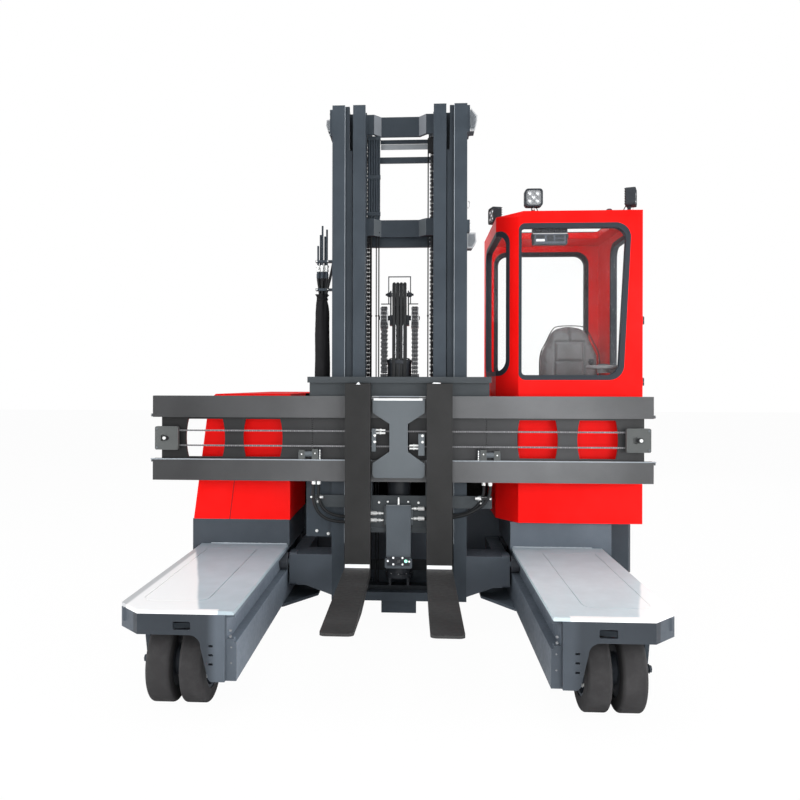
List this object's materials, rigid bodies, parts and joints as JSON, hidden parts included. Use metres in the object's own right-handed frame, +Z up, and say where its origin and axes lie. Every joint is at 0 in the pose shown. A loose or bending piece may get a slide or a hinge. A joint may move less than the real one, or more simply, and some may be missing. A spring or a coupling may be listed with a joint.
{
  "type": "multidirectional forklift",
  "caption": "Electric multidirectional forklift with load arms, twin front wheels, three-stage reaching mast, wide fork carriage with fork positioner and side cab.",
  "frame": {"origin": "on the floor under the middle of the truck's box", "axes": "+X to the right seen from the fork side, +Y to the rear, +Z up; the forks point to -Y"},
  "size_m": [2.968, 3.3, 3.157],
  "materials": {
    "truck_grey": "satin blue-grey enamel",
    "bar_grey": "satin mid grey enamel",
    "cover_red": "gloss red enamel",
    "deck_plate": "smooth pale grey enamel, reflective",
    "fork_black": "satin dark grey enamel",
    "tyre_rubber": "solid black rubber",
    "rim_grey": "satin grey enamel",
    "window_glass": "clear",
    "seal_rubber": "matt black",
    "seat_cover": "dark grey vinyl",
    "black_plastic": "matt black",
    "bright_steel": "ground steel",
    "rod_chrome": "hard chrome",
    "cylinder_black": "satin black enamel",
    "chain_steel": "oiled dark steel",
    "hose_black": "matt black",
    "battery_case": "dark grey case"
  },
  "bodies": {
    "chassis": {"chassis_frame": "truck_grey", "reach_rail_left": "truck_grey", "reach_rail_right": "truck_grey", "arm_left": "truck_grey", "arm_right": "truck_grey", "platform_left": "deck_plate", "platform_right": "deck_plate", "hood_left": "cover_red", "hood_rear": "cover_red", "battery": "battery_case", "boarding_step": "truck_grey", "cab_floor": "cover_red", "cab_front": "cover_red", "cab_side": "cover_red", "cab_rear": "cover_red", "cab_roof": "cover_red", "cab_seals": "seal_rubber", "cab_glass": "window_glass", "cab_console": "black_plastic", "seat": "seat_cover", "seat_base": "black_plastic", "steering_gear": "black_plastic", "work_lamps": "black_plastic"},
    "battery_lid": {"battery_lid": "cover_red"},
    "cab_door": {"door_panel": "cover_red", "door_seal": "seal_rubber", "door_glass": "window_glass"},
    "swivel_left": {"front_yoke_left": "truck_grey"},
    "swivel_right": {"front_yoke_right": "truck_grey"},
    "wheels_left": {"front_hub_left": "rim_grey", "front_tyres_left": "tyre_rubber"},
    "wheels_right": {"front_hub_right": "rim_grey", "front_tyres_right": "tyre_rubber"},
    "drive_swivel": {"drive_unit": "truck_grey"},
    "drive_wheels": {"drive_hub": "rim_grey", "drive_tyres": "tyre_rubber"},
    "reach_carriage": {"mast_outer": "truck_grey", "reach_frame": "truck_grey", "reach_rollers": "bright_steel", "lift_cylinders": "cylinder_black", "mast_hoses": "hose_black"},
    "middle_stage": {"mast_middle": "truck_grey", "lift_rods": "rod_chrome"},
    "inner_stage": {"mast_inner": "truck_grey", "free_lift_cylinder": "cylinder_black", "anchor_chains": "chain_steel", "stage_chains": "chain_steel"},
    "chain_head": {"crosshead": "cylinder_black", "free_lift_rod": "rod_chrome", "sheaves": "bright_steel", "lift_chains": "chain_steel"},
    "fork_carriage": {"carriage_bars": "bar_grey", "carriage_frame": "bar_grey", "carriage_rollers": "bright_steel", "centre_plate": "bar_grey", "positioner_chains": "chain_steel", "positioner_blocks": "truck_grey", "camera_box": "truck_grey"},
    "left_fork": {"fork_left": "fork_black"},
    "right_fork": {"fork_right": "fork_black"}
  },
  "joints": [
    {"name": "reach", "type": "slide", "parent": "chassis", "child": "reach_carriage", "axis": [0, -1, 0], "range_m": [0, 1.2]},
    {"name": "mast_lift", "type": "slide", "parent": "reach_carriage", "child": "middle_stage", "axis": [0, 0, 1], "range_m": [0, 2]},
    {"name": "mast_lift_inner", "type": "slide", "parent": "middle_stage", "child": "inner_stage", "axis": [0, 0, 1], "range_m": [0, 2], "deforming": ["stage_chains"]},
    {"name": "free_lift", "type": "slide", "parent": "inner_stage", "child": "chain_head", "axis": [0, 0, 1], "range_m": [-0.167, 0.6], "deforming": ["anchor_chains"]},
    {"name": "free_lift_carriage", "type": "slide", "parent": "chain_head", "child": "fork_carriage", "axis": [0, 0, 1], "range_m": [-0.167, 0.6], "deforming": ["lift_chains"]},
    {"name": "fork_spread", "type": "slide", "parent": "fork_carriage", "child": "left_fork", "axis": [-1, 0, 0], "range_m": [0, 0.35]},
    {"name": "fork_spread_right", "type": "slide", "parent": "fork_carriage", "child": "right_fork", "axis": [1, 0, 0], "range_m": [0, 0.35]},
    {"name": "cab_door", "type": "hinge", "parent": "chassis", "child": "cab_door", "pos_m": [1.4645, -0.209, 1.5], "axis": [0, 0, -1], "range_deg": [0, 100]},
    {"name": "battery_lid", "type": "hinge", "parent": "chassis", "child": "battery_lid", "pos_m": [0, 1.023, 1.4233], "axis": [-1, 0, 0], "range_deg": [0, 75]},
    {"name": "steer_left", "type": "hinge", "parent": "chassis", "child": "swivel_left", "pos_m": [-0.972, -1.385, 0.44], "axis": [0, 0, 1], "range_deg": [-95, 95]},
    {"name": "steer_right", "type": "hinge", "parent": "chassis", "child": "swivel_right", "pos_m": [0.972, -1.385, 0.44], "axis": [0, 0, 1], "range_deg": [-95, 95]},
    {"name": "steer_drive", "type": "hinge", "parent": "chassis", "child": "drive_swivel", "pos_m": [0, 1.275, 0.63], "axis": [0, 0, 1], "range_deg": [-95, 95]},
    {"name": "roll_left", "type": "hinge", "parent": "swivel_left", "child": "wheels_left", "pos_m": [-0.972, -1.385, 0.188], "axis": [1, 0, 0], "continuous": true},
    {"name": "roll_right", "type": "hinge", "parent": "swivel_right", "child": "wheels_right", "pos_m": [0.972, -1.385, 0.188], "axis": [1, 0, 0], "continuous": true},
    {"name": "roll_drive", "type": "hinge", "parent": "drive_swivel", "child": "drive_wheels", "pos_m": [0, 1.275, 0.2], "axis": [1, 0, 0], "continuous": true}
  ],
  "couplings": [
    {"joint": "mast_lift_inner", "follows": "mast_lift", "ratio": 1},
    {"joint": "free_lift_carriage", "follows": "free_lift", "ratio": 1},
    {"joint": "fork_spread_right", "follows": "fork_spread", "ratio": 1}
  ]
}
